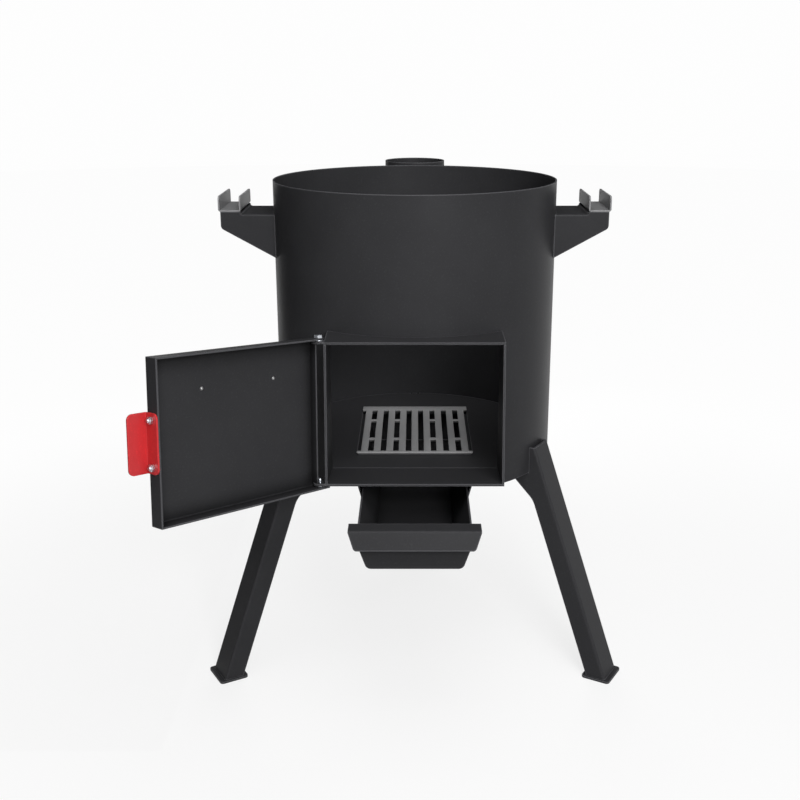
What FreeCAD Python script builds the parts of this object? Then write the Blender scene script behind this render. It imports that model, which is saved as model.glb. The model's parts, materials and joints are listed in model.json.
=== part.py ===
import FreeCAD, Part
import os
import re

import Sketcher

# Cauldron stove: a rolled drum on three folded legs, with a fire door, a grate,
# an ash drawer, two side brackets and a flue. Millimetres and degrees, +Z up,
# front towards -Y, origin on the floor under the drum's axis.

SIZES = {
    # Drum and its floor
    "stand_height": 298.5,
    "drum_radius": 200,
    "drum_height": 400,
    "drum_wall": 2,
    "floor_lift": 19.2,
    "floor_sheet": 4,
    "weld_gap": 0.2,
    "tab_width": 8,
    "relief_width": 3,
    "relief_depth": 6,
    # Portal of the firebox
    "portal_half": 116,
    "portal_reach": 28,
    "portal_height": 187.3,
    "portal_sheet": 3,
    "front_tilt": 7.5,
    # Hinge
    "hinge_setback": 9,
    "hinge_offset": 7.3,
    "lug_sheet": 3,
    "lug_flat": 0.2,
    "hinge_bolt_radius": 3,
    "hinge_head_across": 10,
    "hinge_head_height": 4,
    "hinge_thread_end": 1,
    "stud_end": 6.5,
    "thread_chamfer": 1.2,
    "washer_radius": 6.5,
    "washer_sheet": 1.6,
    "washer_clearance": 0.2,
    "hinge_play": 0.1,
    "running_clearance": 0.05,
    "hex_crown": 0.94,
    # Door
    "door_angle": 132,
    "door_width": 254,
    "door_tail": 7.8,
    "door_sheet": 2,
    "door_gap": 0.5,
    "lip_depth": 21.8,
    "lip_cut_length": 20,
    "lip_cut_depth": 8.5,
    "side_lip_inset": 4.3,
    "side_lip_depth": 12.9,
    "bend_radius": 3.5,
    # Door handle
    "handle_height": 70.5,
    "handle_reach": 27,
    "handle_sheet": 2,
    "handle_corner": 7,
    "handle_bolt_spacing": 54.5,
    "handle_bolt_radius": 2.5,
    "handle_head_across": 8,
    "handle_head_height": 3.5,
    "handle_nut_height": 4,
    "handle_thread_end": 2,
    # Badge plate on the door
    "badge_spacing": 110,
    "badge_drop": 45,
    "badge_margin": 10,
    "badge_height": 34,
    "badge_sheet": 1,
    "badge_corner": 4,
    "rivet_radius": 1.6,
    "rivet_head_radius": 3.2,
    "rivet_head_height": 1.2,
    "rivet_tail_radius": 2.4,
    "rivet_tail_height": 2,
    # Grate
    "grate_opening_half": 82,
    "grate_opening_front": 101,
    "grate_opening_back": 94,
    "grate_clearance": 1,
    "grate_proud": 4.3,
    "bar_clearance": 0.5,
    "bar_width": 10,
    "slot_width": 8,
    "rail_overhang": 5.5,
    "front_rail_lap": 7.5,
    "back_rail_lap": 14,
    "front_rail_width": 6.5,
    "back_rail_width": 20,
    "bridge_width": 8,
    "bridge_back": 38.6,
    "bridge_front": 48.6,
    # Ash box under the floor
    "ash_box_overhang": 4,
    "ash_box_length": 320,
    "ash_box_half": 78.2,
    "ash_box_flange": 16,
    "ash_box_slope": 15,
    "ash_sheet": 2,
    "ash_bend": 3,
    # Ash drawer
    "drawer_pull": 122,
    "drawer_gap": 1,
    "drawer_drop": 6.8,
    "drawer_height": 51,
    "drawer_half": 70.7,
    "drawer_slope": 20,
    "drawer_sheet": 2,
    "drawer_bend": 3,
    "slide_clearance": 0.3,
    "front_half": 82,
    "front_height": 60.6,
    "front_slope": 19.5,
    "front_corner": 8,
    "grip_reach": 21.5,
    "grip_length": 24.5,
    "grip_tilt": 20,
    "grip_taper": 7.5,
    "grip_corner": 5,
    # Legs and feet
    "leg_angle": 30,
    "leg_tilt": 20,
    "leg_overlap": 58,
    "leg_rise": 38,
    "leg_width": 44,
    "leg_depth": 26.7,
    "leg_sheet": 2.5,
    "leg_bend": 3.5,
    "hook_reach": 35,
    "hook_drop": 40,
    "hook_round": 30,
    "foot_sheet": 3,
    "foot_width": 50,
    "foot_length": 42,
    "foot_corner": 5,
    # Side brackets and cradles
    "bracket_drop": 44.5,
    "bracket_reach": 69.3,
    "bracket_width": 100,
    "bracket_sheet": 2.5,
    "bracket_end": 23,
    "bracket_slope": 28.9,
    "bracket_corner": 7,
    "bracket_bend": 2,
    "bracket_step": 0.5,
    "cradle_drop": 40.6,
    "cradle_width": 31,
    "cradle_overhang": 2.7,
    "cradle_sheet": 2,
    "cradle_height": 21.1,
    "cradle_corner": 6,
    "cradle_bend": 3.5,
    # Flue
    "flue_reach": 56,
    "flue_drop": 100,
    "collar_rise": 3,
    "collar_length": 45,
    "collar_radius": 48,
    "elbow_radius": 47,
    "flue_wall": 2,
}
SLOT_COUNT = 8
BRIDGED_SLOTS = (0, 2, 5, 7)

doc = FreeCAD.newDocument("cauldron_stove")
sheet = doc.addObject("Spreadsheet::Sheet", "dims")
for row, (alias, size) in enumerate(SIZES.items(), start=1):
    sheet.set(f"A{row}", alias)
    sheet.set(f"B{row}", str(size))
    sheet.setAlias(f"B{row}", alias)
doc.recompute()

subparts = []


# Writing sizes as expressions on the sheet

def bound(text):
    """The expression with every size written as its cell on the sheet."""
    return re.sub(r"[a-z_]+", lambda word: f"dims.{word[0]}" if word[0] in SIZES else word[0], text)


def number(text):
    return float(sheet.evalExpression(bound(text)))


def frame(at, *turns):
    """A placement expression: a spot, then turns in degrees about the frame's own axes."""
    axes = {"X": "1; 0; 0", "Y": "0; 1; 0", "Z": "0; 0; 1"}
    spins = [f"rotation(vector({axes[axis]}); {bound(angle)})" for axis, angle in turns]
    spot = "; ".join(bound(text) for text in at)
    return f"placement(vector({spot}); {' * '.join(spins) or 'rotation(vector(0; 0; 1); 0)'})"


def place(thing, *frames):
    thing.setExpression("Placement", " * ".join(frames))
    return thing


def node(thing, name):
    thing.Label = name
    subparts.append(thing)
    return thing


# Sketches and features

def sketch_on(body, plane, name, loops):
    """A sketch of closed loops: a loop is a list of corners or a circle (across, up, radius)."""
    sketch = body.newObject("Sketcher::SketchObject", name)
    support = next(item for item in body.Origin.OriginFeatures if item.Role == plane)
    sketch.AttachmentSupport = (support, [""])
    sketch.MapMode = "FlatFace"
    for loop in loops:
        if isinstance(loop, tuple):
            add_circle(sketch, *loop)
        else:
            add_polygon(sketch, loop)
    return sketch


def hold(sketch, kind, where, text):
    index = sketch.addConstraint(Sketcher.Constraint(kind, *where, number(text)))
    sketch.setExpression(f"Constraints[{index}]", bound(text))


def add_circle(sketch, across, up, radius):
    middle = FreeCAD.Vector(number(across), number(up), 0)
    ring = sketch.addGeometry(Part.Circle(middle, FreeCAD.Vector(0, 0, 1), number(radius)), False)
    hold(sketch, "Radius", (ring,), radius)
    hold(sketch, "DistanceX", (-1, 1, ring, 3), across)
    hold(sketch, "DistanceY", (-1, 1, ring, 3), up)


def add_polygon(sketch, corners):
    spots = [FreeCAD.Vector(number(across), number(up), 0) for across, up in corners]
    lines = []
    for start, end in zip(spots, spots[1:] + spots[:1]):
        lines.append(sketch.addGeometry(Part.LineSegment(start, end), False))
    for line, following in zip(lines, lines[1:] + lines[:1]):
        sketch.addConstraint(Sketcher.Constraint("Coincident", line, 2, following, 1))
    for line, (across, up) in zip(lines, corners):
        hold(sketch, "DistanceX", (-1, 1, line, 1), across)
        hold(sketch, "DistanceY", (-1, 1, line, 1), up)


def new_body(name):
    return doc.addObject("PartDesign::Body", name)


def extrude(body, kind, plane, loops, length, side="One side", back=False):
    """Add a Pad or a Pocket of the loops to the body."""
    name = f"{body.Name}_{kind.lower()}{len(body.Group)}"
    profile = sketch_on(body, plane, f"{name}_sketch", loops)
    feature = body.newObject(f"PartDesign::{kind}", name)
    feature.Profile = profile
    feature.SideType = side
    feature.Reversed = back
    feature.setExpression("Length", bound(length))
    body.Tip = feature
    doc.recompute()
    return feature


def pad(body, plane, loops, length, **options):
    return extrude(body, "Pad", plane, loops, length, **options)


def pocket(body, plane, loops, length, **options):
    """Cut the loops out of the body and make sure that something was cut."""
    before = body.Shape.Volume
    feature = extrude(body, "Pocket", plane, loops, length, **options)
    if body.Shape.Volume > before - 1e-6:
        raise ValueError(f"{feature.Name} cuts nothing")
    return feature


def lies_at(point, spot):
    return all(abs(getattr(point, axis) - number(text)) < 1e-4 for axis, text in spot.items())


def round_edges(body, radius, *spots):
    """Round edges of the body: a spot is what both ends of an edge share, or one set for each end."""
    base = body.Tip
    names = []
    for spot in spots:
        near, far = (spot, spot) if isinstance(spot, dict) else spot
        for index, edge in enumerate(base.Shape.Edges, start=1):
            start, end = edge.Vertexes[0].Point, edge.Vertexes[-1].Point
            if (lies_at(start, near) and lies_at(end, far)) or (lies_at(start, far) and lies_at(end, near)):
                names.append(f"Edge{index}")
    fillet = body.newObject("PartDesign::Fillet", f"{body.Name}_fillet{len(body.Group)}")
    fillet.Base = (base, names)
    fillet.setExpression("Radius", bound(radius))
    body.Tip = fillet
    doc.recompute()


def mirrored(corners):
    """The corners of a right half and their mirror images, as one loop."""
    return corners + [(f"-({across})", up) for across, up in reversed(corners)]


def cylinder(name, radius, height, *frames):
    solid = doc.addObject("Part::Cylinder", name)
    solid.setExpression("Radius", bound(radius))
    solid.setExpression("Height", bound(height))
    return place(solid, *(frames or [frame("000")]))


def box(name, length, width, height, *frames):
    solid = doc.addObject("Part::Box", name)
    solid.setExpression("Length", bound(length))
    solid.setExpression("Width", bound(width))
    solid.setExpression("Height", bound(height))
    return place(solid, *frames)


def cone(name, low_radius, high_radius, height, *frames):
    solid = doc.addObject("Part::Cone", name)
    solid.setExpression("Radius1", bound(low_radius))
    solid.setExpression("Radius2", bound(high_radius))
    solid.setExpression("Height", bound(height))
    return place(solid, *frames)


def hexagon(name, across, height, *frames):
    """A hexagonal head or nut whose upper corners are turned off at 30 degrees."""
    prism = doc.addObject("Part::Prism", f"{name}_prism")
    prism.Polygon = 6
    prism.setExpression("Circumradius", bound(f"({across}) / sqrt(3)"))
    prism.setExpression("Height", bound(height))
    place(prism, *frames)
    crown = f"hex_crown * ({across}) / 2"
    turned = cone(f"{name}_turned", f"{crown} + ({height}) / tan(30)", crown, height, *frames)
    solid = doc.addObject("Part::Common", name)
    solid.Base = prism
    solid.Tool = turned
    return solid


def rod(name, radius, reach, *frames):
    """A round rod from the frame's origin down to a chamfered end."""
    plain = f"({reach} - thread_chamfer)"
    shank = cylinder(f"{name}_shank", radius, plain, *frames, frame(("0", "0", f"-{plain}")))
    tip = cone(
        f"{name}_tip", f"{radius} - thread_chamfer / 2", radius, "thread_chamfer",
        *frames, frame(("0", "0", f"-({reach})")),
    )
    return fuse(name, shank, tip)


def bolt(name, radius, across, head_height, reach, *frames):
    """A rod with a hexagonal head on its upper end."""
    head = hexagon(f"{name}_head", across, head_height, *frames)
    return fuse(name, rod(f"{name}_rod", radius, reach, *frames), head)


def cut(name, base, tool):
    result = doc.addObject("Part::Cut", name)
    result.Base = base
    result.Tool = tool
    return result


def fuse(name, base, tool):
    result = doc.addObject("Part::Fuse", name)
    result.Base = base
    result.Tool = tool
    return result


def group(name, members):
    result = doc.addObject("Part::Compound", name)
    result.Links = members
    return node(result, name)


def drum_cutter(name, bottom, top):
    """A cylinder that trims a piece to the drum's outer wall, from one height to another."""
    return cylinder(name, "drum_radius + weld_gap", f"({top}) - ({bottom})", frame(("0", "0", bottom)))


# Heights and places that several pieces share

RIM = "(stand_height + drum_height)"
INNER_RADIUS = "(drum_radius - drum_wall)"
FLOOR_UNDER = "(stand_height + floor_lift)"
FLOOR_TOP = f"({FLOOR_UNDER} + floor_sheet)"
PORTAL_BACK = f"sqrt({INNER_RADIUS} ^ 2 - portal_half ^ 2)"
PORTAL_FRONT = "(drum_radius + portal_reach)"
SILL_RISE = "(portal_height - portal_sheet)"
SILL_FALL = f"({SILL_RISE} / cos(front_tilt) + ({PORTAL_FRONT} - {PORTAL_BACK}) * tan(front_tilt))"
PORTAL_TOP = f"({FLOOR_TOP} + {SILL_FALL})"
SILL_Y = f"(-{PORTAL_FRONT} - {SILL_RISE} * sin(front_tilt))"
SILL_Z = f"({PORTAL_TOP} - {SILL_RISE} * cos(front_tilt))"
PORTAL_FRAME = frame(("0", f"-{PORTAL_FRONT}", PORTAL_TOP), ("X", "-front_tilt"))

HINGE_AT = (
    "-(portal_half + hinge_offset)",
    f"-{PORTAL_FRONT} + hinge_setback / cos(front_tilt)",
    PORTAL_TOP,
)
HINGE_FRAME = frame(HINGE_AT, ("X", "-front_tilt"))
DOOR_FRAME = f"{HINGE_FRAME} * {frame('000', ('Z', '-door_angle'))}"
LUG_SPAN = "(portal_height + hinge_setback * tan(front_tilt))"
LIP_GAP = "(washer_sheet + 2 * hinge_play)"
DOOR_TOP = f"({LIP_GAP} + door_sheet)"
DOOR_BOTTOM = f"(-{LUG_SPAN} - {LIP_GAP} - door_sheet)"
PANEL_INSIDE = "(-hinge_setback - door_gap)"
PANEL_OUTSIDE = f"({PANEL_INSIDE} - door_sheet)"
LIP_EDGE = f"({PANEL_OUTSIDE} + lip_depth)"
LIP_MIDDLE = f"(({PANEL_INSIDE} + {LIP_EDGE}) / 2)"
DOOR_MIDDLE = f"(({DOOR_TOP} + {DOOR_BOTTOM}) / 2)"


# Drum and firebox floor

def make_drum():
    body = place(new_body("drum_shell"), frame(("0", "0", "stand_height")))
    pad(body, "XY_Plane", [("0", "0", "drum_radius"), ("0", "0", INNER_RADIUS)], "drum_height")
    notch_top = f"{PORTAL_TOP} - portal_sheet - stand_height"
    notch = mirrored([("portal_half", "-1"), ("portal_half", notch_top)])
    pocket(body, "XZ_Plane", [notch], "drum_radius + 1", back=True)
    flue_hole = ("0", "drum_height - flue_drop", "elbow_radius - flue_wall")
    pocket(body, "XZ_Plane", [flue_hole], "drum_radius + 1")
    node(body, "drum_shell")


def make_floor():
    body = place(new_body("firebox_floor"), frame(("0", "0", FLOOR_UNDER)))
    pad(body, "XY_Plane", [("0", "0", f"{INNER_RADIUS} - weld_gap")], "floor_sheet")
    chord = f"-{PORTAL_BACK} + weld_gap"
    front = mirrored([("drum_radius", chord), ("drum_radius", "-drum_radius")])
    opening = mirrored([
        ("grate_opening_half", "-grate_opening_front"),
        ("grate_opening_half", "grate_opening_back"),
    ])
    pocket(body, "XY_Plane", [front], "floor_sheet", back=True)
    pocket(body, "XY_Plane", [opening], "floor_sheet", back=True)
    relief = [
        ("tab_width / 2", f"{INNER_RADIUS} - relief_depth"),
        ("tab_width / 2 + relief_width", f"{INNER_RADIUS} - relief_depth"),
        ("tab_width / 2 + relief_width", "drum_radius"),
        ("tab_width / 2", "drum_radius"),
    ]
    other = [(f"-({across})", up) for across, up in relief]
    pocket(body, "XY_Plane", [relief, other], "floor_sheet", back=True)
    node(body, "firebox_floor")


# Portal plates: level top, upright sides with a leaning front edge, sloping sill

def make_portal():
    lintel = box(
        "portal_top_blank", "2 * portal_half", PORTAL_FRONT, "portal_sheet",
        frame(("-portal_half", f"-{PORTAL_FRONT}", f"{PORTAL_TOP} - portal_sheet")),
    )
    trim = drum_cutter("portal_top_trim", f"{PORTAL_TOP} - 2 * portal_sheet", f"{PORTAL_TOP} + portal_sheet")
    node(cut("portal_top", lintel, trim), "portal_top")

    sill_depth = f"(-{PORTAL_BACK} - {SILL_Y}) / cos(front_tilt)"
    sill = box(
        "portal_bottom", "2 * portal_half", sill_depth, "portal_sheet",
        PORTAL_FRAME, frame(("-portal_half", "0", "-portal_height")),
    )
    node(sill, "portal_bottom")

    head = f"({PORTAL_TOP} - portal_sheet)"
    side = [
        (f"-{PORTAL_FRONT} - portal_sheet * tan(front_tilt)", head),
        (f"-{PORTAL_BACK}", head),
        (f"-{PORTAL_BACK}", f"{SILL_Z} - (-{PORTAL_BACK} - {SILL_Y}) * tan(front_tilt)"),
        (SILL_Y, SILL_Z),
    ]
    for name, x in (("portal_left", "-portal_half"), ("portal_right", "portal_half - portal_sheet")):
        body = place(new_body(name), frame((x, "0", "0")))
        pad(body, "YZ_Plane", [side], "portal_sheet")
        node(body, name)


# Hinge: two tapped lugs on the portal's left side, with a bolt in the upper and a stud in the lower

def make_hinge():
    for name, under in (("hinge_lug_top", "-lug_sheet"), ("hinge_lug_bottom", f"-{LUG_SPAN}")):
        body = place(new_body(name), HINGE_FRAME, frame(("0", "0", under)))
        outline = [
            ("-hinge_setback", "-hinge_setback"),
            ("hinge_offset", "-hinge_setback"),
            ("hinge_offset", "hinge_setback"),
            ("-hinge_setback", "hinge_setback"),
        ]
        pad(body, "XY_Plane", [outline], "lug_sheet")
        round_edges(
            body, "hinge_setback - lug_flat / 2",
            {"x": "-hinge_setback", "y": "-hinge_setback"},
            {"x": "-hinge_setback", "y": "hinge_setback"},
        )
        hole = ("0", "0", "hinge_bolt_radius + running_clearance")
        pocket(body, "XY_Plane", [hole], "lug_sheet", back=True)
        node(body, name)

    upper = HINGE_FRAME
    lower = f"{HINGE_FRAME} * {frame(('0', '0', f'-{LUG_SPAN}'), ('X', '180'))}"
    seat = f"({DOOR_TOP} + hinge_play)"
    top_bolt = bolt(
        "hinge_bolt", "hinge_bolt_radius", "hinge_head_across", "hinge_head_height",
        f"({seat} + lug_sheet + hinge_thread_end)", upper, frame(("0", "0", seat)),
    )
    node(top_bolt, "hinge_bolt")
    stud_length = f"({DOOR_TOP} + lug_sheet + stud_end)"
    stud = rod("hinge_stud", "hinge_bolt_radius", stud_length, lower, frame(("0", "0", DOOR_TOP)))
    node(stud, "hinge_stud")

    washers = []
    for side, lug in (("upper", upper), ("lower", lower)):
        disc = cylinder(f"washer_disc_{side}", "washer_radius", "washer_sheet", lug, frame("000"))
        bore = cylinder(
            f"washer_bore_{side}", "hinge_bolt_radius + washer_clearance", "3 * washer_sheet",
            lug, frame(("0", "0", "-washer_sheet")),
        )
        washers.append(cut(f"hinge_washer_{side}", disc, bore))
    group("hinge_washers", washers)


# Door: a folded pan, drawn closed and then swung open. Its lip on the hinge's side stands between the lugs

def make_door():
    body = place(new_body("door_panel"), DOOR_FRAME)
    face = [
        ("-door_tail", DOOR_BOTTOM),
        ("door_width", DOOR_BOTTOM),
        ("door_width", DOOR_TOP),
        ("-door_tail", DOOR_TOP),
    ]
    blank = extrude(body, "Pad", "XZ_Plane", [face], "lip_depth")
    blank.SideType = "Two sides"
    blank.setExpression("Length", bound(f"-{PANEL_OUTSIDE}"))
    blank.setExpression("Length2", bound(LIP_EDGE))
    doc.recompute()
    hollow = [
        ("-2 * door_tail", PANEL_INSIDE),
        ("door_width - door_sheet", PANEL_INSIDE),
        ("door_width - door_sheet", "2 * lip_depth"),
        ("-2 * door_tail", "2 * lip_depth"),
    ]
    inside = pocket(body, "XY_Plane", [hollow], LUG_SPAN)
    inside.SideType = "Two sides"
    inside.setExpression("Length", bound(f"-{DOOR_BOTTOM} - door_sheet"))
    inside.setExpression("Length2", bound(f"{DOOR_TOP} - door_sheet"))
    doc.recompute()
    round_edges(
        body, "bend_radius",
        {"y": PANEL_OUTSIDE, "z": DOOR_TOP},
        {"y": PANEL_OUTSIDE, "z": DOOR_BOTTOM},
        {"x": "door_width", "y": PANEL_OUTSIDE},
    )
    round_edges(
        body, "bend_radius - door_sheet",
        {"y": PANEL_INSIDE, "z": f"{DOOR_TOP} - door_sheet"},
        {"y": PANEL_INSIDE, "z": f"{DOOR_BOTTOM} + door_sheet"},
        {"x": "door_width - door_sheet", "y": PANEL_INSIDE},
    )
    mitre = [
        ("-door_tail", f"{LIP_EDGE} - lip_cut_depth"),
        ("lip_cut_length - door_tail", LIP_EDGE),
        ("lip_cut_length - door_tail", f"{LIP_EDGE} + lip_depth"),
        ("-2 * door_tail", f"{LIP_EDGE} + lip_depth"),
        ("-2 * door_tail", f"{LIP_EDGE} - lip_cut_depth"),
    ]
    pocket(body, "XY_Plane", [mitre], f"2 * {DOOR_TOP}", back=True)
    pivot = ("0", "0", "hinge_bolt_radius + running_clearance")
    pocket(body, "XY_Plane", [pivot], f"4 * {LUG_SPAN}", side="Symmetric")
    bolt_hole = "handle_bolt_radius + running_clearance"
    bolt_holes = [
        (LIP_MIDDLE, f"{DOOR_MIDDLE} + handle_bolt_spacing / 2", bolt_hole),
        (LIP_MIDDLE, f"{DOOR_MIDDLE} - handle_bolt_spacing / 2", bolt_hole),
    ]
    pocket(body, "YZ_Plane", bolt_holes, "door_width + door_sheet", back=True)
    rivet_holes = [(across, up, "rivet_radius + running_clearance") for across, up in rivet_spots()]
    pocket(body, "XZ_Plane", rivet_holes, "2 * lip_depth", back=True)
    high, low = "(-lug_sheet - door_gap)", f"(-{LUG_SPAN} + lug_sheet + door_gap)"
    edge = f"({PANEL_OUTSIDE} + side_lip_depth)"
    side_lip = [(PANEL_OUTSIDE, low), (edge, low), (edge, high), (PANEL_OUTSIDE, high)]
    pad(body, "YZ_Plane", [side_lip], "side_lip_inset + door_sheet")
    tail = [("-2 * door_tail", low), ("side_lip_inset", low), ("side_lip_inset", high), ("-2 * door_tail", high)]
    pocket(body, "XZ_Plane", [tail], "4 * lip_depth", side="Symmetric")
    node(body, "door_panel")


def rivet_spots():
    middle = "((door_width - door_tail) / 2)"
    level = f"({DOOR_TOP} - badge_drop)"
    return [(f"{middle} - badge_spacing / 2", level), (f"{middle} + badge_spacing / 2", level)]


def make_handle():
    body = place(new_body("door_handle"), DOOR_FRAME)
    outer = "(door_width + handle_reach)"
    angle = [
        ("door_width", PANEL_OUTSIDE),
        (outer, PANEL_OUTSIDE),
        (outer, f"{PANEL_OUTSIDE} + handle_sheet"),
        ("door_width + handle_sheet", f"{PANEL_OUTSIDE} + handle_sheet"),
        ("door_width + handle_sheet", LIP_EDGE),
        ("door_width", LIP_EDGE),
    ]
    top = f"({DOOR_MIDDLE} + handle_height / 2)"
    bottom = f"({DOOR_MIDDLE} - handle_height / 2)"
    flange = pad(body, "XY_Plane", [angle], "handle_height")
    flange.SideType = "Two sides"
    flange.setExpression("Length", bound(top))
    flange.setExpression("Length2", bound(f"-{bottom}"))
    doc.recompute()
    round_edges(
        body, "handle_corner",
        {"x": outer, "z": top},
        {"x": outer, "z": bottom},
        {"y": LIP_EDGE, "z": top},
        {"y": LIP_EDGE, "z": bottom},
    )
    round_edges(body, "bend_radius", {"x": "door_width", "y": PANEL_OUTSIDE})
    hole = "handle_bolt_radius + running_clearance"
    holes = [
        (LIP_MIDDLE, f"{DOOR_MIDDLE} + handle_bolt_spacing / 2", hole),
        (LIP_MIDDLE, f"{DOOR_MIDDLE} - handle_bolt_spacing / 2", hole),
    ]
    pocket(body, "YZ_Plane", holes, "2 * door_width", back=True)
    node(body, "door_handle")

    bolts, nuts = [], []
    reach = "(door_sheet + handle_sheet + handle_nut_height + handle_thread_end)"
    for name, sign in (("upper", "+"), ("lower", "-")):
        level = f"{DOOR_MIDDLE} {sign} handle_bolt_spacing / 2"
        inside = [DOOR_FRAME, frame(("door_width - door_sheet", LIP_MIDDLE, level), ("Y", "-90"))]
        outside = [DOOR_FRAME, frame(("door_width + handle_sheet", LIP_MIDDLE, level), ("Y", "90"))]
        bolts.append(bolt(
            f"handle_bolt_{name}", "handle_bolt_radius", "handle_head_across", "handle_head_height",
            reach, *inside,
        ))
        block = hexagon(f"handle_nut_block_{name}", "handle_head_across", "handle_nut_height", *outside)
        thread = cylinder(
            f"handle_nut_bore_{name}", hole, "3 * handle_nut_height",
            *outside, frame(("0", "0", "-handle_nut_height")),
        )
        nuts.append(cut(f"handle_nut_{name}", block, thread))
    group("handle_bolts", bolts)
    group("handle_nuts", nuts)


def make_badge():
    body = place(new_body("badge_plate"), DOOR_FRAME, frame(("0", PANEL_OUTSIDE, "0")))
    (left, level), (right, _) = rivet_spots()
    low = f"({level} - badge_height / 2)"
    high = f"({level} + badge_height / 2)"
    near = f"({left} - badge_margin)"
    far = f"({right} + badge_margin)"
    pad(body, "XZ_Plane", [[(near, low), (far, low), (far, high), (near, high)]], "badge_sheet")
    round_edges(
        body, "badge_corner",
        {"x": near, "z": low}, {"x": far, "z": low}, {"x": far, "z": high}, {"x": near, "z": high},
    )
    holes = [(across, up, "rivet_radius + running_clearance") for across, up in rivet_spots()]
    pocket(body, "XZ_Plane", holes, "badge_sheet", back=True)
    node(body, "badge_plate")

    rivets = []
    for name, (across, up) in zip(("near", "far"), rivet_spots()):
        axis = [DOOR_FRAME, frame((across, PANEL_INSIDE, up), ("X", "90"))]
        grip = "door_sheet + badge_sheet"
        pin = cylinder(f"rivet_pin_{name}", "rivet_radius", grip, *axis)
        tail = cone(
            f"rivet_tail_{name}", "rivet_tail_radius / 2", "rivet_tail_radius", "rivet_tail_height",
            *axis, frame(("0", "0", "-rivet_tail_height")),
        )
        head = cone(
            f"rivet_head_{name}", "rivet_head_radius", "rivet_head_radius / 2", "rivet_head_height",
            *axis, frame(("0", "0", grip)),
        )
        rivets.append(fuse(f"rivet_{name}", fuse(f"rivet_body_{name}", pin, tail), head))
    group("badge_rivets", rivets)


# Grate: bars between two rails that lie on the floor, with bridges in four of the slots

def make_grate():
    body = place(new_body("grate"), frame(("0", "0", FLOOR_TOP)))
    pitch = "(bar_width + slot_width)"
    bars = f"({SLOT_COUNT} * {pitch} + bar_width) / 2"
    front = "(-grate_opening_front - front_rail_lap)"
    back = "(grate_opening_back + back_rail_lap)"
    plate = mirrored([
        (f"{bars} + rail_overhang", front),
        (f"{bars} + rail_overhang", f"{front} + front_rail_width"),
        (bars, f"{front} + front_rail_width"),
        (bars, f"{back} - back_rail_width"),
        (f"{bars} + rail_overhang", f"{back} - back_rail_width"),
        (f"{bars} + rail_overhang", back),
    ])
    pad(body, "XY_Plane", [plate], "grate_proud")
    block = mirrored([
        (bars, "-grate_opening_front + grate_clearance"),
        (bars, "grate_opening_back - grate_clearance"),
    ])
    pad(body, "XY_Plane", [block], "floor_sheet - bar_clearance", back=True)
    slots = []
    stops = [f"{front} + front_rail_width"]
    stops += ["-bridge_front - bridge_width / 2", "-bridge_front + bridge_width / 2"]
    stops += ["bridge_back - bridge_width / 2", "bridge_back + bridge_width / 2"]
    stops += [f"{back} - back_rail_width"]
    for slot in range(SLOT_COUNT):
        near = f"({slot} - {SLOT_COUNT} / 2) * {pitch} + bar_width / 2"
        far = f"{near} + slot_width"
        ends = list(zip(stops[0::2], stops[1::2])) if slot in BRIDGED_SLOTS else [(stops[0], stops[-1])]
        for low, high in ends:
            slots.append([(near, low), (far, low), (far, high), (near, high)])
    pocket(body, "XY_Plane", slots, "4 * (floor_sheet + grate_proud)", side="Symmetric")
    node(body, "grate")


# Ash box: a trough with flanges under the floor, closed by a plate at the back

ASH_FRONT = "(drum_radius + ash_box_overhang)"
ASH_INSIDE = "(drawer_drop + drawer_height + slide_clearance)"
ASH_REAR = f"(ash_box_length - {ASH_FRONT})"


def trough_half(top_half, slope, wall):
    """Outer and inner half widths of a sloping trough, as functions of the depth below its top."""
    def outer(down):
        return f"({top_half} - ({down}) * tan({slope}))"

    def inner(down):
        return f"({top_half} - ({down}) * tan({slope}) - {wall} / cos({slope}))"
    return outer, inner


def make_ash_box():
    outer, inner = trough_half("ash_box_half", "ash_box_slope", "ash_sheet")
    bottom = f"({ASH_INSIDE} + ash_sheet)"
    right = [
        (inner(ASH_INSIDE), f"-{ASH_INSIDE}"),
        (inner("0"), "0"),
        ("ash_box_half + ash_box_flange", "0"),
        ("ash_box_half + ash_box_flange", "-ash_sheet"),
        (outer("ash_sheet"), "-ash_sheet"),
        (outer(bottom), f"-{bottom}"),
    ]
    body = place(new_body("ash_box"), frame(("0", ASH_REAR, FLOOR_UNDER)))
    pad(body, "XZ_Plane", [mirrored(right)], "ash_box_length")
    for sign in ("", "-"):
        round_edges(body, "ash_bend", {"x": f"{sign}{outer(bottom)}", "z": f"-{bottom}"})
        round_edges(body, "ash_bend", {"x": f"{sign}{inner('0')}", "z": "0"})
    node(body, "ash_box")

    plate = mirrored([(inner(ASH_INSIDE), f"-{ASH_INSIDE}"), (inner("0"), "0")])
    body = place(new_body("ash_box_back"), frame(("0", ASH_REAR, FLOOR_UNDER)))
    pad(body, "XZ_Plane", [plate], "ash_sheet")
    node(body, "ash_box_back")


# Ash drawer: a trough, its back plate, and a front plate folded over into a grip

DRAWER_TOP = f"({FLOOR_UNDER} - drawer_drop)"
DRAWER_FRONT = f"(-{ASH_FRONT} - drawer_gap - drawer_pull)"
DRAWER_LENGTH = "(ash_box_length - ash_sheet)"


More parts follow.
